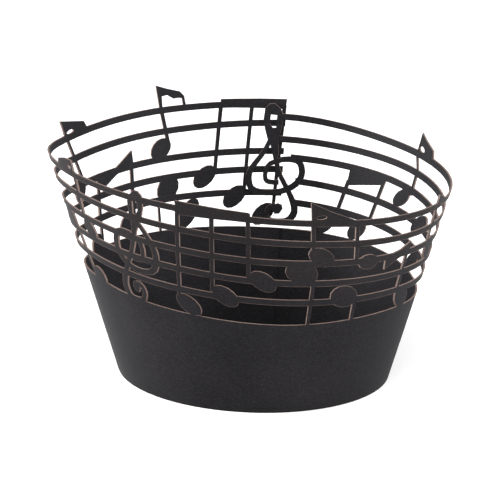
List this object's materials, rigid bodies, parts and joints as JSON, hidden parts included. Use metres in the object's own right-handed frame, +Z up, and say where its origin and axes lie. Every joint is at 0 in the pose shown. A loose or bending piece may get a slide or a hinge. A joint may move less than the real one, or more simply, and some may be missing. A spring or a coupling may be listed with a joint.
{
  "type": "cupcake wrapper",
  "caption": "Open cone of thin card, solid below and cut through above as a wavy music staff with notes and clefs.",
  "frame": {"origin": "on the table, below the middle of the part's box", "axes": "+Z up the cone, from its standing edge to its wide rim; the front of the picture looks along +Y"},
  "size_m": [0.0818, 0.0832, 0.0511],
  "materials": {
    "card": "matte"
  },
  "bodies": {
    "root": {"wrapper": "card"}
  },
  "joints": []
}
